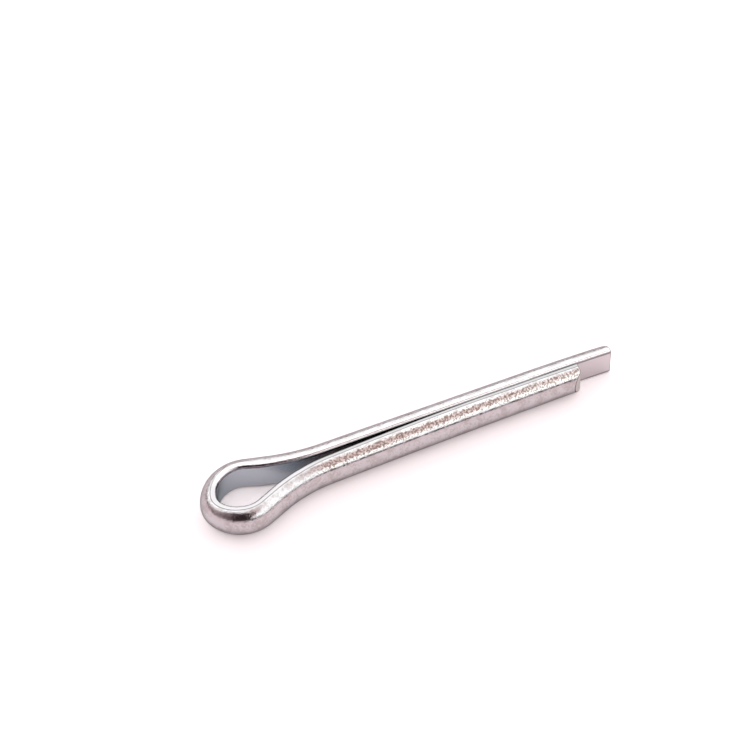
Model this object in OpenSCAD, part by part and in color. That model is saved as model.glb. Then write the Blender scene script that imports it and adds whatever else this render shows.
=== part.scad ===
// Split pin (cotter pin) for holding brake pads in a caliper.
// One length of half-round wire is folded flat face to flat face: it makes an open
// eye at one end and two legs of unequal length that lie together as the shank.
// +X runs along the shank to the leg tips, +Y to the longer leg, +Z up.
// The origin is on the shank's axis, where the legs begin to part towards the eye.

/* [Wire] */
// Radius of the half-round wire: twice this is the shank's diameter
wire_r = 2.25; // [1.9:0.05:2.6]
// Radius on the two long edges of the wire's flat face
edge_r = 0.42; // [0.3:0.02:0.5]

/* [Legs] */
// Length of the shorter leg, from the origin to its tip
short_leg = 34.6; // [28:0.2:50]
// How far the longer leg stands out past the shorter one
leg_step = 5; // [2:0.1:8]
// Gap between the two flat faces at the origin
throat_gap = 0.9; // [0.4:0.05:1.2]
// Gap between the two flat faces at the shorter leg's tip
tip_gap = 0.12; // [0.08:0.02:0.3]
// Depth of the bevel on the round side of each tip
bevel_depth = 1; // [0.5:0.05:1.4]
// Length of that bevel along the leg
bevel_length = 1.3; // [0.6:0.1:2]

/* [Eye, short leg's side] */
// Angle at which the wire leaves the shank's line
short_spread = 22.9; // [18:0.1:26]
// Distance behind the origin at which that bend is centred
short_neck = 4.6; // [3.5:0.1:5.5]
// Radius of that bend, on the wire's flat face
short_neck_r = 20.5; // [12:0.5:22]
// Radius of the eye's bend
short_bend_r = 3.3; // [3:0.1:4]
// How much thinner than the shank's wire this side of the eye is
short_thinning = 0.26; // [0.1:0.02:0.4]

/* [Eye, long leg's side] */
// Angle at which the wire leaves the shank's line
long_spread = 15.5; // [12:0.1:18]
// Distance behind the origin at which that bend is centred
long_neck = 4; // [3.5:0.1:5.5]
// Radius of that bend, on the wire's flat face
long_neck_r = 29; // [16:0.5:30]
// Radius of the eye's bend
long_bend_r = 3.8; // [3.2:0.1:4.4]
// How much thinner than the shank's wire this side of the eye is
long_thinning = 0.1; // [0.06:0.02:0.4]

/* [Eye, closed end] */
// Radius of the tighter bend at the end, between the two sides
end_bend_r = 1.5; // [1.1:0.1:2]
// Radius of the hole's bend beside the short leg's side
hole_short_r = 3.9; // [3.4:0.1:4.4]
// Radius of the hole's bend at the closed end
hole_end_r = 1; // [0.9:0.1:1.5]
// Radius of the hole's bend beside the long leg's side
hole_long_r = 4.1; // [3.6:0.1:4.6]

/* [Hidden] */
$fn = 96;

zinc = [0.78, 0.79, 0.81];
quarter = 90;
radian = 180 / PI;
bevel_angle = atan(bevel_depth / bevel_length);
cut_depth = 0.85;   // reach of the hole's cut into the eye, over the greatest thinning
cut_clear = 0.5;    // how far a cut stands out past the wire
long_leg = short_leg + leg_step;
// Every other stretch of the wire's path is drawn this much fuller than its neighbours, and
// laps over their ends, so that they join in one solid
fuller = 0.01;
lap = 0.05;
// Height of the flat face's edges, rounded up so that each edge's circle crosses the wire's
height_step = 0.01;
edge_z = ceil(sqrt(pow(wire_r - edge_r, 2) - edge_r * edge_r) / height_step) * height_step;
taper = atan((throat_gap - tip_gap) / 2 / short_leg);

// A place on a path is [point, heading]. A move is [length, 0] or [radius, turn],
// and a turn to the left is positive. The wire's round side is on the path's left.
function dir(a) = [cos(a), sin(a)];
function left(a) = [-sin(a), cos(a)];
function after(p, m) =
    m[1] == 0 ? [p[0] + m[0] * dir(p[1]), p[1]]
    : [p[0] + sign(m[1]) * m[0] * (left(p[1]) - left(p[1] + m[1])), p[1] + m[1]];
function place(p, moves, n) = n == 0 ? p : after(place(p, moves, n - 1), moves[n - 1]);

// Corner points where each leg's line meets its side of the eye
function leg_y(x) = throat_gap / 2 - x * tan(taper);
short_corner = [-short_neck, -leg_y(-short_neck)];
long_corner = [-long_neck, leg_y(-long_neck)];
short_head = 180 + short_spread;
long_head = -long_spread;

// The eye's three bends, and the straight lengths that close it between its two sides
function bends(r_short, r_end, r_long) =
    [[r_short, -quarter], [r_end, -short_spread - long_spread], [r_long, -quarter]];
function span(c1, c2, eye) = c2 - c1 - place([[0, 0], short_head], eye, 3)[0];
function sides(c1, c2, eye) =
    let (d1 = dir(short_head), d2 = -dir(long_head), v = span(c1, c2, eye))
    [cross(v, d2) / cross(d1, d2), cross(v, d1) / cross(d1, d2)];

// The wire, from the short leg's tip round the eye to the long leg's tip
short_turn = short_spread - taper;
long_turn = long_spread - taper;
short_tangent = short_neck_r * tan(short_turn / 2);
long_tangent = long_neck_r * tan(long_turn / 2);
eye = bends(short_bend_r, end_bend_r, long_bend_r);
eye_sides = sides(short_corner, long_corner, eye);
wire_start = [[short_leg, -tip_gap / 2], 180 + taper];
wire_path = concat(
    [[(short_leg + short_neck) / cos(taper) - short_tangent, 0],
     [short_neck_r, short_turn],
     [eye_sides[0] - short_tangent, 0]],
    eye,
    [[eye_sides[1] - long_tangent, 0],
     [long_neck_r, long_turn],
     [(long_leg + long_neck) / cos(taper) - long_tangent, 0]]);

// The pressed hole, whose sides start where they leave the necks' bends
function lead(r, thin) = sqrt(r * r - (r - thin) * (r - thin));
hole = bends(hole_short_r, hole_end_r, hole_long_r);
short_line = short_corner + short_thinning * left(short_head);
long_line = long_corner + long_thinning * left(long_head);
hole_sides = sides(short_line, long_line, hole);
short_lead = short_tangent - lead(short_neck_r, short_thinning);
long_lead = long_tangent - lead(long_neck_r, long_thinning);
hole_start = [short_line + short_lead * dir(short_head), short_head];
hole_path = concat([[hole_sides[0] - short_lead, 0]], hole, [[hole_sides[1] - long_lead, 0]]);

// One move, drawn from the origin along +X, and a bend drawn past both its ends by a length
module stretch(m, beyond) {
    extra = beyond / m[0] * radian;
    if (m[1] == 0)
        rotate([quarter, 0, quarter]) linear_extrude(m[0]) children();
    else if (m[1] > 0)
        translate([0, m[0]]) rotate(-quarter - extra)
            rotate_extrude(angle = m[1] + 2 * extra) translate([m[0], 0]) mirror([1, 0]) children();
    else
        translate([0, -m[0]]) mirror([0, 1]) rotate(-quarter - extra)
            rotate_extrude(angle = -m[1] + 2 * extra) translate([m[0], 0]) children();
}

// Moves what comes next to where a move ends
module past(m) {
    if (m[1] == 0)
        translate([m[0], 0]) children();
    else
        translate([0, sign(m[1]) * m[0]]) rotate(m[1]) translate([0, -sign(m[1]) * m[0]]) children();
}

// Draws a path with its plain section and its fuller one by turns
module along(moves, i = 0) {
    full = i % 2;
    stretch(moves[i], full * lap) children(full);
    if (i < len(moves) - 1) past(moves[i]) along(moves, i + 1) { children(0); children(1); }
}

// Moves a path from the origin to its start
module from(p) {
    translate(p[0]) rotate(p[1]) children();
}

// Everything outward of a flat face at x = -grow whose two edges are rounded
module rounded_side(grow) {
    reach = wire_r + 2 * cut_clear;   // past the furthest side of any cut
    for (side = [-1, 1]) translate([edge_r - grow, side * (edge_z + grow)]) circle(edge_r);
    translate([-grow, -edge_z - grow]) square([2 * edge_r, 2 * (edge_z + grow)]);
    translate([edge_r - grow, -reach]) square([reach, 2 * reach]);
}

// The half-round wire, with its flat face on the path
module wire_section(grow) {
    intersection() {
        circle(wire_r + grow);
        rounded_side(grow);
    }
}

// What the press takes off the flat face, leaving the same rounded edges
module hole_section(grow) {
    reach = wire_r + cut_clear + grow;
    difference() {
        translate([-cut_depth - grow, -reach]) square([cut_depth + edge_r + 2 * grow, 2 * reach]);
        rounded_side(-grow);
    }
}

// Takes the bevel off a leg's round side, and stops short of the other leg
module tip_cut(tip, side) {
    reach = 2 * wire_r;
    inward = wire_r / 2;
    translate([tip[0], tip[1] + side * (wire_r - bevel_depth)]) rotate(-side * bevel_angle)
        translate([-reach, side > 0 ? 0 : -reach, -reach])
            cube([reach + inward, reach, 2 * reach]);
}

module split_pin() {
    color(zinc) difference() {
        from(wire_start) along(wire_path) { wire_section(0); wire_section(fuller); }
        from(hole_start) along(hole_path) { hole_section(0); hole_section(fuller); }
        tip_cut([short_leg, -tip_gap / 2], -1);
        tip_cut([long_leg, leg_y(long_leg)], 1);
    }
}

split_pin();
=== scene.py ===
"""A split pin of zinc-plated half-round wire, lying on a pale studio table."""

import math

import bpy
import numpy as np
from bpy.props import FloatProperty, PointerProperty, StringProperty
from mathutils import Matrix, Vector


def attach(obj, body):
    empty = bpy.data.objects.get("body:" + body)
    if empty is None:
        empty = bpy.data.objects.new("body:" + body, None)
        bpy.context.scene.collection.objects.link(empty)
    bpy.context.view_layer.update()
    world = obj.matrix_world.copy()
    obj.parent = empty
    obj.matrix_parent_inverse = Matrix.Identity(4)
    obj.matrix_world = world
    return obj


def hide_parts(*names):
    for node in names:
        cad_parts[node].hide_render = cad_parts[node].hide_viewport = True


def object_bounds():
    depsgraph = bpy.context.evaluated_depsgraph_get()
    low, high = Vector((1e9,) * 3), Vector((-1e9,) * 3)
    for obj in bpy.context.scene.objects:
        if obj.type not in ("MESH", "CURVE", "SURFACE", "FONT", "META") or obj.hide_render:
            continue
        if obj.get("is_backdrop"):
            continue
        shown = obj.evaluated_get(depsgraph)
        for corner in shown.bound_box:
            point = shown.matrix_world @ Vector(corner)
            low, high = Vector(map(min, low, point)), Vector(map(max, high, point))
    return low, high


bl_info = {
    "name": "Split Pin",
    "version": (1, 0, 0),
    "blender": (4, 5, 0),
    "location": "View3D > Sidebar > Split Pin",
    "description": "Builds a zinc-plated split pin and the studio table that it lies on",
    "category": "Object",
}

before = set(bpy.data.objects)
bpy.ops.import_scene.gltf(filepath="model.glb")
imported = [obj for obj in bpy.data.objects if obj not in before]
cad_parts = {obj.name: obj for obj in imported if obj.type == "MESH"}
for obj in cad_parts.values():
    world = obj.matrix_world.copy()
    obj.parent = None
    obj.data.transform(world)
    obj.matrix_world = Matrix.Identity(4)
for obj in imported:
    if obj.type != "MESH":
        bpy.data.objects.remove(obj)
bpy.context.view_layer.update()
NODE = "split_pin"
SLOT = "zinc_plated_steel"
MM = 0.001
QUARTER = math.pi / 2

# How finely the wire is drawn: steps along its path in mm and radians, and points round its section
PATH_STEP, PATH_TURN = 0.35, math.radians(2.5)
FLAT_POINTS, EDGE_STEPS, ROUND_STEPS = 14, 12, 48
# The stretch at each tip that has closer stations for the bevel, in mm, and how many it has
END_ZONE, END_STATIONS = 2.4, 17
END_CLEAR = 0.1
# Rings that turn over each sheared end's edge, and rings from there to the middle of its face
CAP_TURN_RINGS, CAP_FACE_RINGS = 4, 10
CAP_MIDDLE = 1.0        # how far outward from the flat face's path that middle lies, in mm
FILLET = 0.1            # radius of the sheared end's edge, in mm
BEVEL_SOFT = 0.06       # how softly the bevel starts, in mm
# The wire is on a leg where its outward normal points sideways by at least this
SIDEWAYS = 0.99
HOOK_START = 0.8        # share of the short leg's length at which the long leg starts to hook back
EYE_START, EYE_BLEND = 0.5, 4.0    # where the finish turns to the eye's, behind the origin, in mm
SIDE_BLEND = 3.0        # length over which the finish changes sides at the closed end, in mm

# The short leg's flat face: distance from the tip in mm, and share of the leg's full plus
SHORT_LEG_PLUS = ((6, 0.53), (8.5, 0.57), (15.5, 1), (22.5, 1), (30, 0.75))
SHORT_NECK_PLUS = 0.5
# The long leg's: distance in mm before the place beside the short leg's tip, and share
LONG_LEG_PLUS = ((12, 1), (8, 1.3), (4, 0.6))
PLUS_STEP, PLUS_SOFTENING = 0.1, 15    # steps in mm, and how many of them each way smooth a change

# Values stored on the mesh, which the finish follows: distance along the surface from the seam in
# mm, and how far a place is on the short leg's side, in the eye and on a sheared end
MESH_VALUES = ("from_seam", "short_side", "in_eye", "cut")

# Camera, in mm in the pin's frame
CAMERA_AT = (-76.5, -180.0, 253.1)
CAMERA_AHEAD = (0.267, 0.5785, -0.7708)
SENSOR_WIDTH = 36.0
CLIP_START = 0.01       # in metres
TABLE_HALF = 3.0        # half the table's width, in metres

# Cards bent to domes round the pin: name, material, its colour's setting, distance in metres,
# middle, and outline. Places are azimuths and elevations in degrees. Azimuth 0 is the camera's
# side, and it grows to the camera's right.
CARDS = (
    ("studio_cloth", "black_molleton", "cloth", 0.42, (2, 48),
     ((-24, 22), (0, 22), (24, 22), (29, 34), (33, 46), (38, 58), (37, 66), (18, 71), (-10, 70),
      (-24, 62), (-22, 40))),
    ("studio_cloth_side", "grey_molleton", "cloth_side", 0.43, (-32, 50),
     ((-52, 22), (-24, 21), (-16, 40), (-16, 60), (0, 70), (-10, 80), (-44, 72), (-50, 50))),
    ("studio_cloth_end", "pale_molleton", "cloth_end", 0.44, (-66, 42),
     ((-100, 22), (-80, 21), (-50, 21), (-46, 50), (-44, 68), (-58, 62), (-64, 50), (-74, 40),
      (-98, 32))),
    ("studio_card", "grey_card", "card", 0.45, (58, 66),
     ((22, 36), (38, 40), (50, 45), (62, 51), (74, 56), (88, 60), (100, 66), (106, 71), (104, 76),
      (84, 79), (50, 77), (20, 74), (24, 50))),
)
CARD_RIM_STEPS, CARD_ROWS = 6, 8
# The tent's dark hem: azimuth, and the elevations of its lower and upper sides
HEM = ((-180, 0, 5), (-150, 3, 9), (-121, 10, 17), (-105, 15, 23), (-90, 17, 24), (-60, 15, 23),
       (-45, 18, 25), (0, 19, 25), (42, 18.5, 28), (52, 16, 23), (75, 15, 22), (92, 12, 22),
       (105, 4, 34), (122, 4, 34), (135, 3, 12), (160, 0, 6), (180, 0, 5))
HEM_STEP = 5
WALL_FOOT = -5          # elevation of the wall's foot, which the table's level then cuts off

# Sockets of a Mix node that mixes colours
MIX_A, MIX_B, MIX_RESULT = 6, 7, 2


# ---------------------------------------------------------------- settings

def length(name, default_mm, text):
    return FloatProperty(name=name, description=text, default=default_mm * MM, subtype="DISTANCE",
                         unit="LENGTH")


def angle(name, default_deg, text):
    return FloatProperty(name=name, description=text, default=math.radians(default_deg),
                         subtype="ANGLE", unit="ROTATION")


def colour(name, default_hex, text):
    return StringProperty(name=name, description=text, default=default_hex)


def number(name, default, text):
    return FloatProperty(name=name, description=text, default=default)


class PinSizes(bpy.types.PropertyGroup):
    """Sizes of the folded wire, as it was drawn, folded, pressed and cut."""
    wire_r: length("Wire radius", 2.25, "Radius of the half-round wire")
    edge_r: length("Edge radius", 0.42, "Radius on the two long edges of the legs' flat faces")
    eye_edge_r: length("Eye's edge radius", 0.55,
                       "Radius on the two long edges of the eye's flat face")
    short_leg: length("Short leg", 34.6, "From the parting point to the shorter leg's tip")
    leg_step: length("Leg step", 5.0, "How far the longer leg stands out past the shorter one")
    throat_gap: length("Throat gap", 0.9, "Gap between the flat faces where the legs part")
    tip_gap: length("Tip gap", 0.12, "Gap between the flat faces at the shorter leg's tip")
    bevel_depth: length("Bevel depth", 1.0, "Depth of the bevel on the round side of each tip")
    bevel_length: length("Bevel length", 1.3, "Length of that bevel along the leg")
    shear: length("Shear lean", 0.12,
                  "How far each tip's upper edge is cut back from its lower one")
    short_spread: angle("Short side spread", 22.9,
                        "Angle at which the short leg's side leaves the shank")
    short_neck: length("Short side neck", 4.6, "Distance behind the origin of that bend's corner")
    short_neck_r: length("Short neck radius", 20.5, "Radius of that bend")
    short_bend_r: length("Short side bend", 3.3,
                         "Radius of the eye's bend on the short leg's side")
    long_spread: angle("Long side spread", 15.5,
                       "Angle at which the long leg's side leaves the shank")
    long_neck: length("Long side neck", 4.0, "Distance behind the origin of that bend's corner")
    long_neck_r: length("Long neck radius", 29.0, "Radius of that bend")
    long_bend_r: length("Long side bend", 3.8, "Radius of the eye's bend on the long leg's side")
    end_bend_r: length("End bend", 1.5, "Radius of the tighter bend at the closed end")
    short_leg_plus: length("Short leg's plus", 0.3,
                           "How far the short leg's flat face lies past the half circle")
    long_leg_plus: length("Long leg's plus", 0.08, "The same on the long leg")
    eye_plus: length("Eye's plus", 0.2, "The same on the eye's short side")
    eye_long_plus: length("Eye's long side plus", 0.27, "The same on the eye's long side")
    long_bend_plus: length("Long side bend's plus", 0.08, "The same where that side's bend ends")
    end_plus: length("Closed end's plus", -0.06,
                     "The same at the closed end, where the fold has thinned the wire")
    short_bow: length("Short leg's bow", 0.07, "How far the short leg bows towards the long one")
    long_hook: length("Long leg's hook", 0.2,
                      "How far the long leg's tip bends back towards the short one")


class PinFinish(bpy.types.PropertyGroup):
    """Look of the bright zinc plating."""
    zinc: colour("Zinc", "#DEDDDF", "Colour of the clean plating")
    zinc_dull: colour("Dull zinc", "#CBC5C5", "Colour where the plating is duller")
    edge: colour("Rolled edge", "#C0BEBE", "Colour of the short side's duller rolled edges")
    # painted highlight: the long side's rolled edges are lightened to stand in for the bright light
    # that they mirror
    edge_painted_highlight: colour("Bright edge", "#F2F1F2",
                        "Colour of the long side's rubbed, brighter rolled edges")
    eye_edge: colour("Eye's rolled edge", "#D2CFD1",
                     "Colour of the short side's rolled edges in the eye")
    # painted shade: a dark line along the seam beside the short side's rolled edges stands in for
    # the shade of a fine groove, and it is darker still in the eye
    seam: colour("Seam", "#8A878B", "Colour of the fine seam beside each of those edges")
    eye_seam_shade: colour("Eye's seam", "#767275", "Colour of that seam in the eye")
    # painted shade: the eye's inner faces get a bluer tone that stands in for the shaded floor they
    # mirror inside the eye
    fold: colour("Fold", "#D8E2E9", "Colour of the thin, bluer plating inside the fold")
    # painted reflection: the legs' flat faces are lightened to stand in for the floor that they
    # mirror
    flat: colour("Flat", "#EFEBED", "Colour of the legs' smooth flat faces")
    mark: colour("Drawing mark", "#ACA098",
                 "Colour of the short marks that the wire's drawing left in a band")
    mark_between: colour("Between marks", "#FBF8F6",
                         "Colour of the rubbed metal between those marks")
    sheared: colour("Sheared face", "#F6F2EE", "Colour of the sheared and bevelled ends")
    burr: colour("Burr", "#6E6866", "Colour of the fine line round each sheared end")
    # painted reflection: a dark line where the long side's flat face meets its rolled edge stands
    # in for the dark side round the camera mirrored in the rim
    painted_rim_line: colour("Fold line", "#929096",
                      "Colour of the line where the flat face meets its rolled edge")
    glance: colour("Glance", "#B4BEBC", "Tint of the metal at a glancing angle")
    roughness: number("Roughness", 0.1, "Roughness of the clean plating")
    grain: length("Grain", 0.25, "Size of the drawn wire's surface grain and marks")
    grain_depth: length("Grain depth", 0.045, "Depth of that grain where it is at full strength")


class Studio(bpy.types.PropertyGroup):
    """Table, tent and camera."""
    paper: colour("Paper", "#E8DADD", "Colour of the table's paper in shade")
    paper_lift: colour("Paper lift", "#FFFBFB", "Colour that lifts the open paper to white")
    lift: number("Lift", 0.5, "Strength of that lift, where 1 alone would be white")
    lift_mirrored: number("Mirrored lift", 0.25, "Share of that lift that the metal mirrors")
    shade_reach: length("Shade reach", 5.0, "How far away the wire still shades the paper's lift")
    wall: colour("Wall", "#F0E4E6", "Colour of the tent's pale low wall")
    hem: colour("Hem", "#332F30", "Colour of the tent's dark hem")
    cloth: colour("Cloth", "#3C3133", "Colour of the dark cloth round the camera")
    cloth_side: colour("Side cloth", "#857779", "Colour of the greyer cloth to its left")
    cloth_end: colour("End cloth", "#C4B8BA", "Colour of the palest cloth, furthest to the left")
    card: colour("Card", "#EDE3DF", "Colour of the pale grey card to the right of the camera")
    tent: number("Tent light", 1.45, "Brightness of the white tent, where 1 shows white")
    tent_r: length("Tent radius", 1100.0, "Distance of the tent's dark hem and pale wall")
    azimuth: angle("Camera azimuth", 24.771,
                   "How far the camera is turned from the shank's square view")
    lens: number("Lens", 122.25, "Focal length in millimetres for a 36 mm sensor")


# ---------------------------------------------------------------- the wire's shape

def left(a):
    return np.array((-math.sin(a), math.cos(a)))


def heading(a):
    return np.array((math.cos(a), math.sin(a)))


def cross(a, b):
    return a[0] * b[1] - a[1] * b[0]


def trace(start, turn, moves, step, step_angle):
    """Stations along a run of moves, [length, 0] or [radius, turn to the left]: points and
    left-hand normals."""
    p, a = np.array(start, float), turn
    points, normals = [p], [left(a)]
    for size, bend in moves:
        if bend == 0:
            count = max(1, math.ceil(size / step))
            for k in range(1, count + 1):
                points.append(p + size * k / count * heading(a))
                normals.append(left(a))
        else:
            side = math.copysign(size, bend)
            count = max(1, math.ceil(abs(bend) / min(step_angle, step / size * 2)))
            centre = p + side * left(a)
            for k in range(1, count + 1):
                normals.append(left(a + bend * k / count))
                points.append(centre - side * normals[-1])
            a += bend
        p = points[-1]
    return np.array(points), np.array(normals)


def plan(s):
    """Sizes in millimetres and radians, and the flat face's path from the short leg's tip round
    the eye to the long leg's tip: its start, its heading there and its moves."""
    mm = 1 / MM
    g = {key: getattr(s, key) * (1 if key.endswith("spread") else mm)
         for key in s.bl_rna.properties.keys() if key not in ("rna_type", "name")}
    long_leg = g["short_leg"] + g["leg_step"]
    taper = math.atan((g["throat_gap"] - g["tip_gap"]) / 2 / g["short_leg"])

    def leg_y(x):
        return g["throat_gap"] / 2 - x * math.tan(taper)

    short_corner = np.array((-g["short_neck"], -leg_y(-g["short_neck"])))
    long_corner = np.array((-g["long_neck"], leg_y(-g["long_neck"])))
    short_head, long_head = math.pi + g["short_spread"], -g["long_spread"]
    eye = [(g["short_bend_r"], -QUARTER), (g["end_bend_r"], -g["short_spread"] - g["long_spread"]),
           (g["long_bend_r"], -QUARTER)]
    # the two straight sides are as long as it takes to close the eye
    bends_end = trace((0, 0), short_head, eye, 1, 1)[0][-1]
    rest, d1, d2 = long_corner - short_corner - bends_end, heading(short_head), -heading(long_head)
    short_side, long_side = (cross(rest, d) / cross(d1, d2) for d in (d2, d1))
    short_turn, long_turn = g["short_spread"] - taper, g["long_spread"] - taper
    short_tangent = g["short_neck_r"] * math.tan(short_turn / 2)
    long_tangent = g["long_neck_r"] * math.tan(long_turn / 2)
    wire = [((g["short_leg"] + g["short_neck"]) / math.cos(taper) - short_tangent, 0),
            (g["short_neck_r"], short_turn), (short_side - short_tangent, 0), *eye,
            (long_side - long_tangent, 0), (g["long_neck_r"], long_turn),
            ((long_leg + g["long_neck"]) / math.cos(taper) - long_tangent, 0)]
    return g, (g["short_leg"], -g["tip_gap"] / 2), math.pi + taper, wire


def plus_along(g, wire, at):
    """How far the flat face lies past the half circle at each place along the wire."""
    ends = np.cumsum([0] + [size * abs(bend) if bend else size for size, bend in wire])
    (tip, short_neck, short_side, short_bend, end_bend, long_bend, long_side, long_neck, long_leg,
     long_tip) = ends
    beside_tip = long_tip - g["leg_step"]
    marks = [(tip, g["tip_gap"] / 2),
             *((x, share * g["short_leg_plus"]) for x, share in SHORT_LEG_PLUS),
             (short_neck, SHORT_NECK_PLUS * g["short_leg_plus"]),
             (short_side, g["eye_plus"]),
             (short_bend, g["eye_plus"]),
             ((short_bend + end_bend) / 2, g["eye_plus"]),
             (end_bend, g["end_plus"]),
             (long_bend, g["end_plus"]),
             (long_side, g["long_bend_plus"]),
             ((long_side + long_neck) / 2, g["eye_long_plus"]),
             (long_neck, g["eye_long_plus"]),
             (long_leg, g["long_leg_plus"]),
             *((beside_tip - x, share * g["long_leg_plus"]) for x, share in LONG_LEG_PLUS),
             (long_tip, 0.0)]
    x, plus = np.array(marks).T
    even = np.interp(np.arange(0, long_tip + PLUS_STEP, PLUS_STEP), x, plus)
    weights = np.hanning(2 * PLUS_SOFTENING + 1)
    soft = np.convolve(np.pad(even, PLUS_SOFTENING, "edge"), weights / weights.sum(), "valid")
    return np.interp(at, np.arange(len(soft)) * PLUS_STEP, soft)


def section(r, edge, plus):
    """The half-round section at each station, up its flat face and back down its round side:
    distance outward from the path, height, and distance along the surface from the seam, where
    an edge's rounding meets the round side."""
    flat, edge = -plus[:, None], edge[:, None]
    edge_z = np.sqrt((r - edge) ** 2 - (flat + edge) ** 2)
    reach = np.arctan2(edge_z, flat + edge)
    share = np.arange(1, EDGE_STEPS + 1) / EDGE_STEPS
    height = -edge_z * np.cos(np.linspace(0, math.pi, FLAT_POINTS))
    upper = math.pi - (math.pi - reach) * share
    around = reach * (1 - 2 * np.arange(1, ROUND_STEPS + 1) / ROUND_STEPS)
    lower = -reach - (math.pi - reach) * share[:-1]
    arc = edge * (math.pi - reach)
    out = np.hstack([flat + 0 * height, flat + edge + edge * np.cos(upper), r * np.cos(around),
                     flat + edge + edge * np.cos(lower)])
    z = np.hstack([height, edge_z + edge * np.sin(upper), r * np.sin(around),
                   -edge_z + edge * np.sin(lower)])
    from_seam = np.hstack([np.abs(height) - edge_z - arc, -arc * (1 - share),
                           r * (reach - np.abs(around)), -arc * share[:-1]])
    return out, z, from_seam


def cut_back(g, out, z):
    """How far a sheared and bevelled end lies behind its tip's furthest point."""
    deep = (out - (g["wire_r"] - g["bevel_depth"])) * g["bevel_length"] / g["bevel_depth"]
    bevel = (deep + np.sqrt(deep * deep + BEVEL_SOFT * BEVEL_SOFT)) / 2
    return bevel + g["shear"] * (z + g["wire_r"]) / (2 * g["wire_r"])


def end_stations():
    """Distances from a tip to its closer stations."""
    return END_ZONE * (1 - np.cos(np.linspace(0, QUARTER, END_STATIONS)))


def stations(g, start, turn, wire):
    """Distances along the wire, points of its flat face's path and outward normals, with the legs
    as they lie: the short one bows in, and the long one's tip hooks back."""
    points, normals = trace(start, turn, wire, PATH_STEP, PATH_TURN)
    run = np.concatenate([[0], np.cumsum(np.hypot(*np.diff(points, axis=0).T))])
    near_tip, clear = end_stations(), END_ZONE + END_CLEAR
    middle = run[(run > clear) & (run < run[-1] - clear)]
    at = np.concatenate([near_tip, middle, run[-1] - near_tip[::-1]])
    points = np.stack([np.interp(at, run, points[:, k]) for k in (0, 1)], 1)
    normals = np.stack([np.interp(at, run, normals[:, k]) for k in (0, 1)], 1)
    normals /= np.hypot(*normals.T)[:, None]

    on_short, on_long = normals[:, 1] < -SIDEWAYS, normals[:, 1] > SIDEWAYS
    share = np.clip(points[:, 0] / g["short_leg"], 0, 1)
    points[:, 1] += on_short * g["short_bow"] * (np.sin(math.pi * share) - share ** 3)
    hooked = g["short_leg"] * (1 - HOOK_START) + g["leg_step"]
    beyond = np.clip((points[:, 0] - HOOK_START * g["short_leg"]) / hooked, 0, 1)
    points[:, 1] -= on_long * g["long_hook"] * beyond ** 2
    return at, points, normals


def placed(point, normal, out, z, slide):
    """Points of the section at one or more stations, slid along the wire from them."""
    tangent = np.stack([normal[..., 1], -normal[..., 0]], -1)
    flat = (point[..., None, :] + normal[..., None, :] * out[..., None]
            + tangent[..., None, :] * slide[..., None])
    return np.concatenate([flat, z[..., None]], -1).reshape(-1, 3)


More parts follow.
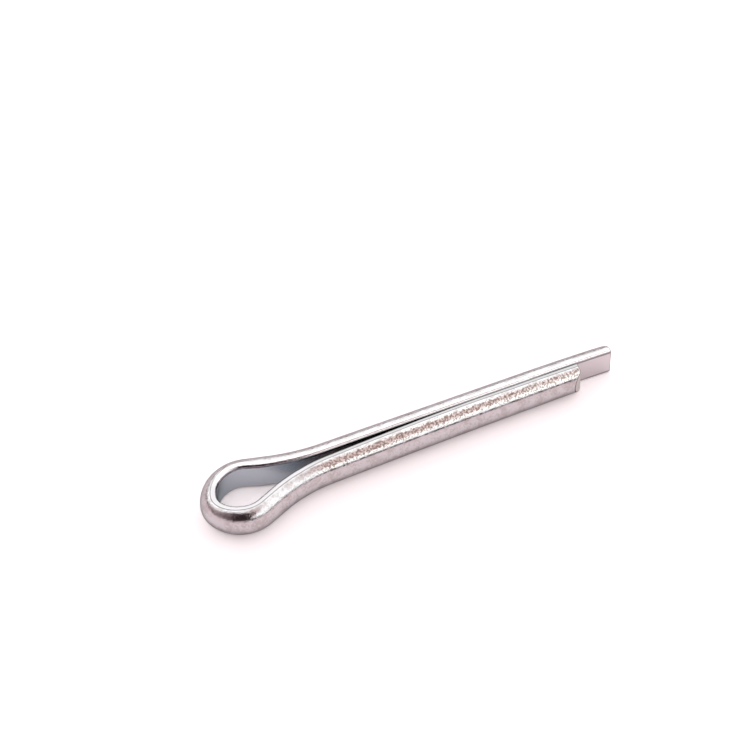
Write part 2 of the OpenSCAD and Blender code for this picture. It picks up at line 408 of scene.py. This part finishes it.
def pin_mesh(s):
    """Vertices in millimetres, faces, and the values that the finish follows, of the whole pin."""
    g, start, turn, wire = plan(s)
    at, points, normals = stations(g, start, turn, wire)
    in_eye = np.clip(-(points[:, 0] + EYE_START) / EYE_BLEND, 0, 1)
    edge = g["edge_r"] + (g["eye_edge_r"] - g["edge_r"]) * in_eye
    out, z, from_seam = section(g["wire_r"], edge, plus_along(g, wire, at))
    count, around = out.shape
    total = at[-1]

    # the two ends' stations slide along the straight legs, so that the last one follows the cut
    along = np.repeat(at[:, None], around, 1)
    share = end_stations() / END_ZONE
    k = len(share)
    back = cut_back(g, out, z) + FILLET
    along[:k] = back[:k] + (END_ZONE - back[:k]) * share[:, None]
    along[-k:] = total - (back[-k:] + (END_ZONE - back[-k:]) * share[::-1, None])

    parts, faces = [], []

    def add(verts, *values):
        parts.append(np.column_stack([verts, *(np.broadcast_to(v, len(verts)) for v in values)]))

    long_side = np.clip((at - (at[-1] + at[0]) / 2) / SIDE_BLEND + 0.5, 0, 1)
    add(placed(points, normals, out, z, along - at[:, None]), from_seam.ravel(),
        np.repeat(1 - long_side, around), np.repeat(in_eye, around), 0)
    ring = np.arange(around)
    beside = (ring + 1) % around
    for i in range(count - 1):
        a, b = i * around, (i + 1) * around
        faces += np.stack([a + ring, b + ring, b + beside, a + beside], 1).tolist()

    # the sheared ends: rings that turn over the edge, and rings that shrink to the middle
    turns = np.linspace(0, QUARTER, CAP_TURN_RINGS + 1)[1:]
    rises = [*(FILLET * np.sin(turns)), *[FILLET] * CAP_FACE_RINGS]
    next_vert = count * around
    for i, quad, triangle in ((0, [0, 1, 2, 3], [0, 1, 2]), (count - 1, [0, 3, 2, 1], [1, 0, 2])):
        reach = np.hypot(out[i] - CAP_MIDDLE, z[i])
        inward = [np.clip(FILLET * (1 - math.cos(a)) / reach, 0, 1) for a in turns]
        inward += [inward[-1] + (1 - inward[-1]) * share
                   for share in np.linspace(0, 1, CAP_FACE_RINGS + 2)[1:-1]]
        outer = i * around + ring
        for j, (share, rise) in enumerate(zip(inward, rises)):
            ring_out, ring_z = out[i] + (CAP_MIDDLE - out[i]) * share, z[i] * (1 - share)
            gone = cut_back(g, ring_out, ring_z) + FILLET - rise
            slide = (gone if i == 0 else total - gone) - at[i]
            add(placed(points[i], normals[i], ring_out, ring_z, slide), 1, 0, 0,
                min(1, (j + 1) / CAP_TURN_RINGS))
            inner = next_vert + ring
            faces += np.stack([outer, outer[beside], inner[beside], inner], 1)[:, quad].tolist()
            outer = inner
            next_vert += around
        middle_out, middle_z = np.array([CAP_MIDDLE]), np.zeros(1)
        gone = cut_back(g, middle_out, middle_z)
        slide = (gone if i == 0 else total - gone) - at[i]
        add(placed(points[i], normals[i], middle_out, middle_z, slide), 1, 0, 0, 1)
        middle = np.full(around, next_vert)
        faces += np.stack([outer, outer[beside], middle], 1)[:, triangle].tolist()
        next_vert += 1
    table = np.vstack(parts)
    return table[:, :3], faces, dict(zip(MESH_VALUES, table[:, 3:].T.copy()))


# ---------------------------------------------------------------- materials

def linear(code):
    """An sRGB hex colour as linear red, green, blue and alpha."""
    parts = [int(code[i:i + 2], 16) / 255 for i in (1, 3, 5)]
    return (*[c / 12.92 if c <= 0.04045 else ((c + 0.055) / 1.055) ** 2.4 for c in parts], 1.0)


def node(tree, kind, inputs=(), **settings):
    """Adds one node with its own settings. Each of its inputs that is given is paired with the
    output that feeds it, or with a constant."""
    made = tree.nodes.new(kind)
    for name, value in settings.items():
        setattr(made, name, value)
    for socket, source in inputs:
        if isinstance(source, bpy.types.NodeSocket):
            tree.links.new(made.inputs[socket], source)
        else:
            made.inputs[socket].default_value = source
    return made


def new_material(name):
    m = bpy.data.materials.new(name)
    m.use_nodes = True
    m.node_tree.nodes.clear()
    return m, m.node_tree


def zinc_plating(finish):
    """Bright zinc over drawn steel wire: it mirrors the room softly, and its fine grain breaks
    the edges of what it mirrors into mottling. The drawing left a band of short marks, and the
    rolled edges are duller on the short side. Painted light: a painted highlight on the long
    side's rolled edges, painted reflection that lightens the legs' flat faces, a dark line of
    painted shade along the short side's seam, a dark line of painted reflection at the long
    side's rim, and painted shade in a bluer tone on the fold's inner faces in the eye."""
    m, t = new_material(SLOT)
    place = node(t, "ShaderNodeTexCoord").outputs["Object"]
    grain = node(t, "ShaderNodeTexNoise", [
        ("Vector", place), ("Scale", 1 / finish.grain), ("Detail", 3.0),
        ("Roughness", 0.6)]).outputs["Fac"]
    # the plating's clouds are about five grains across
    cloud = node(t, "ShaderNodeTexNoise", [
        ("Vector", place), ("Scale", 1 / (5 * finish.grain)), ("Detail", 2.0)]).outputs["Fac"]
    spots = node(t, "ShaderNodeMath", [(0, grain), (1, cloud)], operation="ADD").outputs[0]
    seam, short_side, in_eye, cut = (
        node(t, "ShaderNodeAttribute", attribute_name=name).outputs["Fac"] for name in MESH_VALUES)

    # smooth steps: what each follows, where it starts and ends, and its levels before and after.
    # Distances from the seam are in mm, and are negative on the edge's rounding and flat face.
    steps = {"short_side": short_side, "in_eye": in_eye}
    for name, value, start, end, before, after in (
            ("clean", spots, 0.8, 1.1, 0, 1),
            ("between_marks", grain, 0.42, 0.56, 0, 1),
            ("long_side", short_side, 0, 1, 1, 0),
            ("out_of_eye", in_eye, 0.1, 0.9, 1, 0),
            ("marks_start", seam, 0.4, 0.55, 0, 1),
            ("marks_end", seam, 1.4, 1.65, 1, 0),
            ("edge_start", seam, -0.8, -0.7, 0, 1),
            ("dull_edge_end", seam, 0.1, 0.18, 1, 0),
            ("painted_highlight_edge_end", seam, 0.0, 0.1, 1, 0),
            ("seam_shade_start", seam, 0.05, 0.11, 0, 1),
            ("seam_shade_end", seam, 0.13, 0.19, 1, 0),
            ("on_flat_painted_reflection", seam, -1.0, -0.75, 1, 0),
            ("in_fold_shade", seam, -1.1, -0.85, 1, 0),
            ("painted_rim_line_start", seam, -0.84, -0.76, 0, 1),
            ("painted_rim_line_end", seam, -0.6, -0.52, 1, 0),
            ("on_burr", cut, 0.02, 0.2, 0, 1),
            ("on_sheared", cut, 0.7, 0.95, 0, 1),
            ("grain_roughness", grain, 0.35, 0.7, 0.6 * finish.roughness, 2 * finish.roughness),
            ("sheared_roughness", cut, 0.5, 1, 0, 0.4),
            ("grain_strength", in_eye, 0.2, 1, 0.36, 0.65)):
        steps[name] = node(t, "ShaderNodeMapRange", [
            ("Value", value), ("From Min", start), ("From Max", end), ("To Min", before),
            ("To Max", after)], interpolation_type="SMOOTHSTEP").outputs["Result"]

    # pairs of tones, and which step leads from the first to the second
    tones = {}
    for name, step, first, second in (
            ("plating", "clean", finish.zinc_dull, finish.zinc),
            ("marks", "between_marks", finish.mark, finish.mark_between),
            ("edge", "in_eye", finish.edge, finish.eye_edge),
            ("seam", "in_eye", finish.seam, finish.eye_seam_shade)):
        tones[name] = node(t, "ShaderNodeMix", [
            ("Factor", steps[step]), (MIX_A, linear(first)), (MIX_B, linear(second))],
            data_type="RGBA").outputs[MIX_RESULT]

    # layers over the plating, from the lowest: the tone, and the steps that bound it
    tone = tones["plating"]
    for cover, first, *others in (
            (tones["marks"], "marks_start", "marks_end", "short_side", "out_of_eye"),
            (tones["edge"], "edge_start", "dull_edge_end", "short_side"),
            # painted highlight on the long side's rolled edges
            (linear(finish.edge_painted_highlight), "edge_start", "painted_highlight_edge_end", "long_side"),
            # painted shade along the short side's seam, darker in the eye
            (tones["seam"], "seam_shade_start", "seam_shade_end", "short_side"),
            # painted reflection that lightens the legs' flat faces
            (linear(finish.flat), "on_flat_painted_reflection"),
            # painted shade in a bluer tone on the eye's inner flat faces
            (linear(finish.fold), "in_fold_shade", "in_eye"),
            # painted reflection: a dark line at the long side's rim
            (linear(finish.painted_rim_line), "painted_rim_line_start", "painted_rim_line_end", "long_side"),
            (linear(finish.burr), "on_burr"),
            (linear(finish.sheared), "on_sheared")):
        share = steps[first]
        for step in others:
            share = node(t, "ShaderNodeMath", [(0, share), (1, steps[step])],
                         operation="MULTIPLY").outputs[0]
        tone = node(t, "ShaderNodeMix", [("Factor", share), (MIX_A, tone), (MIX_B, cover)],
                    data_type="RGBA").outputs[MIX_RESULT]

    rough = node(t, "ShaderNodeMath", [
        (0, steps["grain_roughness"]), (1, steps["sheared_roughness"])], operation="ADD")
    bump = node(t, "ShaderNodeBump", [
        ("Height", grain), ("Strength", steps["grain_strength"]), ("Distance", finish.grain_depth)])
    metal = node(t, "ShaderNodeBsdfPrincipled", [
        ("Base Color", tone), ("Roughness", rough.outputs[0]), ("Normal", bump.outputs["Normal"]),
        ("Metallic", 1.0), ("Specular Tint", linear(finish.glance))])
    node(t, "ShaderNodeOutputMaterial", [("Surface", metal.outputs["BSDF"])])
    return m


def table_paper(s):
    """Smooth matt paper: white where it is open, with a soft warm tone where the pin shades it."""
    m, t = new_material("matt_paper")
    matt = node(t, "ShaderNodeBsdfDiffuse", [("Color", linear(s.paper))])
    path = node(t, "ShaderNodeLightPath")
    bounced = node(t, "ShaderNodeMath", [
        (0, path.outputs["Is Glossy Ray"]), (1, path.outputs["Is Transmission Ray"])],
        operation="MAXIMUM")
    mirrored = node(t, "ShaderNodeMath", [(0, bounced.outputs[0]), (1, s.lift_mirrored)],
                    operation="MULTIPLY")
    seen = node(t, "ShaderNodeMath", [
        (0, path.outputs["Is Camera Ray"]), (1, mirrored.outputs[0])], operation="MAXIMUM")
    # the lift fades in the deepest shade, which is inside the eye
    shade = node(t, "ShaderNodeAmbientOcclusion", [("Distance", s.shade_reach)], samples=8)
    lift = node(t, "ShaderNodeMapRange", [
        ("Value", shade.outputs["AO"]), ("From Min", 0.1), ("From Max", 0.5),
        ("To Min", 0.4 * s.lift), ("To Max", s.lift)], interpolation_type="SMOOTHSTEP")
    power = node(t, "ShaderNodeMath", [(0, seen.outputs[0]), (1, lift.outputs["Result"])],
                 operation="MULTIPLY")
    light = node(t, "ShaderNodeEmission", [
        ("Strength", power.outputs[0]), ("Color", linear(s.paper_lift))])
    both = node(t, "ShaderNodeAddShader", [
        (0, matt.outputs["BSDF"]), (1, light.outputs["Emission"])])
    node(t, "ShaderNodeOutputMaterial", [("Surface", both.outputs["Shader"])])
    return m


def matt_sheet(name, code):
    """Matt cloth, card or wall paper that the metal mirrors as one even tone: black molleton and
    charcoal felt swallow nearly all light, and the paler ones give the metal its greys."""
    m, t = new_material(name)
    matt = node(t, "ShaderNodeBsdfDiffuse", [("Color", linear(code))])
    node(t, "ShaderNodeOutputMaterial", [("Surface", matt.outputs["BSDF"])])
    return m


# ---------------------------------------------------------------- meshes in the scene

def add_mesh(name, verts, faces, material, smooth=False):
    mesh = bpy.data.meshes.new(name)
    mesh.from_pydata(verts, [], faces)
    mesh.materials.append(material)
    mesh.polygons.foreach_set("use_smooth", [smooth] * len(mesh.polygons))
    mesh.update()
    obj = bpy.data.objects.new(name, mesh)
    bpy.context.scene.collection.objects.link(obj)
    return obj


def toward(room, azimuth, elevation):
    """The direction of an azimuth and elevation in degrees, in the room that faces the camera."""
    a, e = math.radians(azimuth), math.radians(elevation)
    return room @ Vector((math.sin(a) * math.cos(e), -math.cos(a) * math.cos(e), math.sin(e)))


def dome_card(room, name, outline, middle, reach, material):
    """A card bent to a dome round the pin."""
    verts, n = [toward(room, *middle) * reach], CARD_RIM_STEPS * len(outline)
    rim = []
    for (a0, e0), (a1, e1) in zip(outline, outline[1:] + outline[:1]):
        for k in range(CARD_RIM_STEPS):
            share = k / CARD_RIM_STEPS
            rim.append(toward(room, a0 + (a1 - a0) * share, e0 + (e1 - e0) * share) * reach)
    for row in range(1, CARD_ROWS + 1):
        verts += [((v - verts[0]) * row / CARD_ROWS + verts[0]).normalized() * reach for v in rim]
    faces = [(0, 1 + k, 1 + (k + 1) % n) for k in range(n)]
    for at in range(1, 1 + (CARD_ROWS - 1) * n, n):
        faces += [(at + k, at + n + k, at + n + (k + 1) % n, at + (k + 1) % n) for k in range(n)]
    add_mesh(name, verts, faces, material)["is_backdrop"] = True


def tent_ring(room, radius, floor_z, name, azimuths, bottom, top, material):
    """A strip of the tent right round the pin, between two elevations at each azimuth."""
    verts = [room @ Vector((math.sin(math.radians(a)) * radius, -math.cos(math.radians(a)) * radius,
                            max(floor_z, math.tan(math.radians(e)) * radius)))
             for a, low, high in zip(azimuths, bottom, top) for e in (low, high)]
    faces = [(2 * k, 2 * k + 1, 2 * k + 3, 2 * k + 2) for k in range(len(azimuths) - 1)]
    add_mesh(name, verts, faces, material)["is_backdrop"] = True


# ---------------------------------------------------------------- operators

class SPLITPIN_OT_pin(bpy.types.Operator):
    """Folds the wire into the split pin, with its pressed eye and bevelled tips"""
    bl_idname = "splitpin.pin"
    bl_label = "Split pin"

    def execute(self, context):
        scene = context.scene
        verts, faces, values = pin_mesh(scene.pin_sizes)
        finish = zinc_plating(scene.pin_finish)
        pin = add_mesh("pin_wire", (verts * MM).tolist(), faces, finish, smooth=True)
        for name, value in values.items():
            pin.data.attributes.new(name, "FLOAT", "POINT").data.foreach_set("value", value)
        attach(pin, "root")
        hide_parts(NODE)
        return {"FINISHED"}


class SPLITPIN_OT_studio(bpy.types.Operator):
    """Lays the table, hangs the white tent with its cloths and card, and sets the camera"""
    bl_idname = "splitpin.studio"
    bl_label = "Studio"

    def execute(self, context):
        scene = context.scene
        s = scene.studio
        table_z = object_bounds()[0].z
        # the room is square to the camera: its back is the way the camera looks
        room = Matrix.Rotation(-s.azimuth, 4, "Z")
        corners = [(x * TABLE_HALF, y * TABLE_HALF, table_z)
                   for x, y in ((-1, -1), (1, -1), (1, 1), (-1, 1))]
        add_mesh("studio_table", corners, [(0, 1, 2, 3)], table_paper(s))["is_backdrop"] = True

        ahead = Vector(CAMERA_AHEAD).normalized()
        across = room @ Vector((1, 0, 0))
        up = across.cross(ahead).normalized()
        across = ahead.cross(up)
        turn = Matrix((across, up, -ahead)).transposed().to_4x4()
        lens = bpy.data.cameras.new("studio_camera")
        lens.lens, lens.sensor_width, lens.clip_start = s.lens, SENSOR_WIDTH, CLIP_START
        camera = bpy.data.objects.new("studio_camera", lens)
        camera.matrix_world = Matrix.Translation(Vector(CAMERA_AT) * MM) @ turn
        scene.collection.objects.link(camera)
        scene.camera = camera

        for name, material, setting, reach, middle, outline in CARDS:
            dome_card(room, name, outline, middle, reach,
                      matt_sheet(material, getattr(s, setting)))
        azimuths = list(range(-180, 181, HEM_STEP))
        at, lows, highs = zip(*HEM)
        low, high = np.interp(azimuths, at, lows), np.interp(azimuths, at, highs)
        tent_ring(room, s.tent_r, table_z, "studio_hem", azimuths, low, high,
                  matt_sheet("charcoal_felt", s.hem))
        tent_ring(room, s.tent_r, table_z, "studio_wall", azimuths, [WALL_FOOT] * len(azimuths),
                  low, matt_sheet("pale_wall_paper", s.wall))

        world = bpy.data.worlds.new("white_tent")
        world.use_nodes = True
        background = world.node_tree.nodes["Background"]
        background.inputs["Color"].default_value = (1, 1, 1, 1)
        background.inputs["Strength"].default_value = s.tent
        scene.world = world
        scene.view_settings.view_transform = "Standard"
        return {"FINISHED"}


class SPLITPIN_PT_panel(bpy.types.Panel):
    """Sidebar panel with the pieces and the settings"""
    bl_idname = "SPLITPIN_PT_panel"
    bl_label = "Split Pin"
    bl_space_type = "VIEW_3D"
    bl_region_type = "UI"
    bl_category = "Split Pin"

    def draw(self, context):
        layout = self.layout
        for group, operator in (("pin_sizes", "splitpin.pin"), ("pin_finish", None),
                                ("studio", "splitpin.studio")):
            box = layout.box()
            settings = getattr(context.scene, group)
            for key in settings.bl_rna.properties.keys():
                if key not in ("rna_type", "name"):
                    box.prop(settings, key)
            if operator:
                box.operator(operator)


GROUPS = {"pin_sizes": PinSizes, "pin_finish": PinFinish, "studio": Studio}
CLASSES = (*GROUPS.values(), SPLITPIN_OT_pin, SPLITPIN_OT_studio, SPLITPIN_PT_panel)


def register():
    for cls in CLASSES:
        bpy.utils.register_class(cls)
    for name, group in GROUPS.items():
        setattr(bpy.types.Scene, name, PointerProperty(type=group))


def unregister():
    for name in GROUPS:
        delattr(bpy.types.Scene, name)
    for cls in reversed(CLASSES):
        bpy.utils.unregister_class(cls)


def main():
    register()
    bpy.ops.splitpin.pin()
    bpy.ops.splitpin.studio()


if __name__ == "__main__":
    main()
